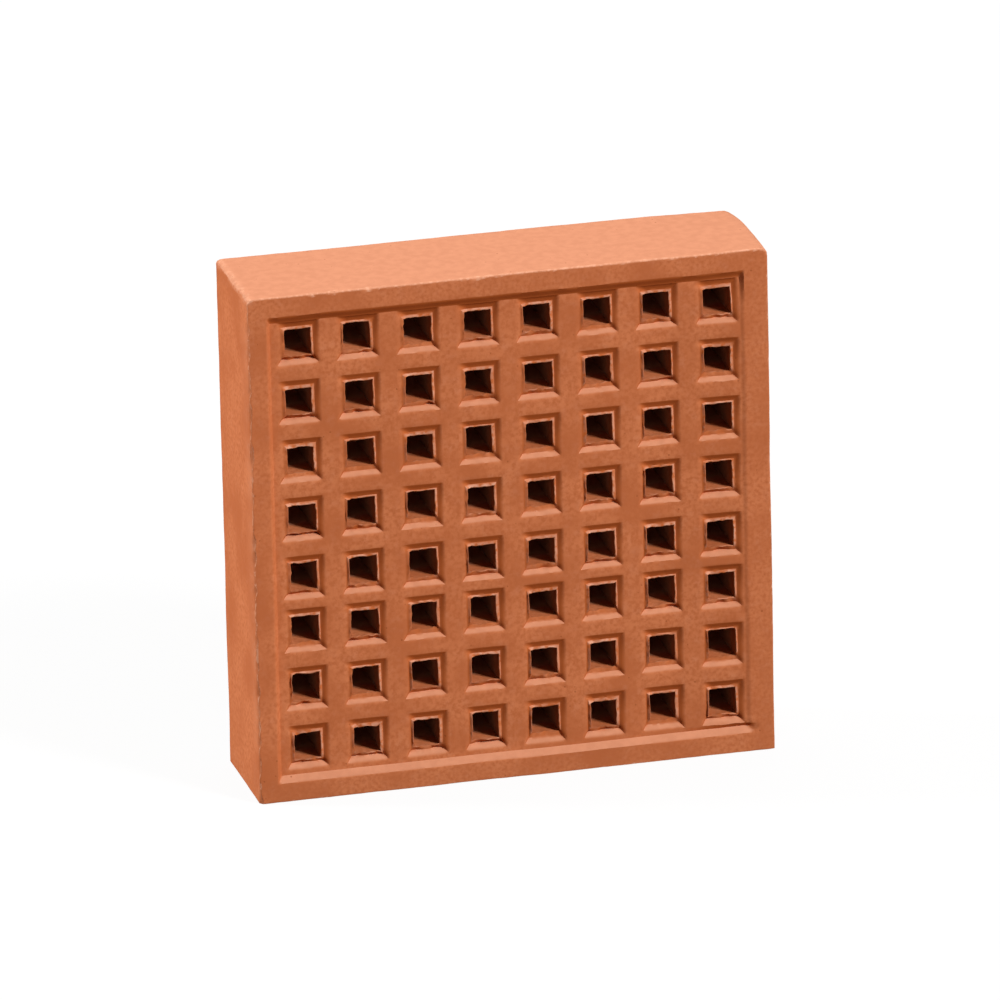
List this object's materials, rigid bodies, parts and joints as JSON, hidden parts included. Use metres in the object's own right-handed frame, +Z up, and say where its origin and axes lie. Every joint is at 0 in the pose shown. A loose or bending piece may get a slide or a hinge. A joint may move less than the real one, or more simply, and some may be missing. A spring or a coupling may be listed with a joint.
{
  "type": "air brick",
  "caption": "Square terracotta air brick with a grid of flared square vents in a sunk panel, built into a wall to let air through it.",
  "frame": {"origin": "under the middle of the bed, on the floor that the brick stands on", "axes": "+Z up through the courses of the wall, the vented face looks along -Y, +X to the right seen from the face"},
  "size_m": [0.215, 0.053, 0.215],
  "materials": {
    "fired_clay": "matt, unglazed"
  },
  "bodies": {
    "root": {"air_brick": "fired_clay"}
  },
  "joints": []
}
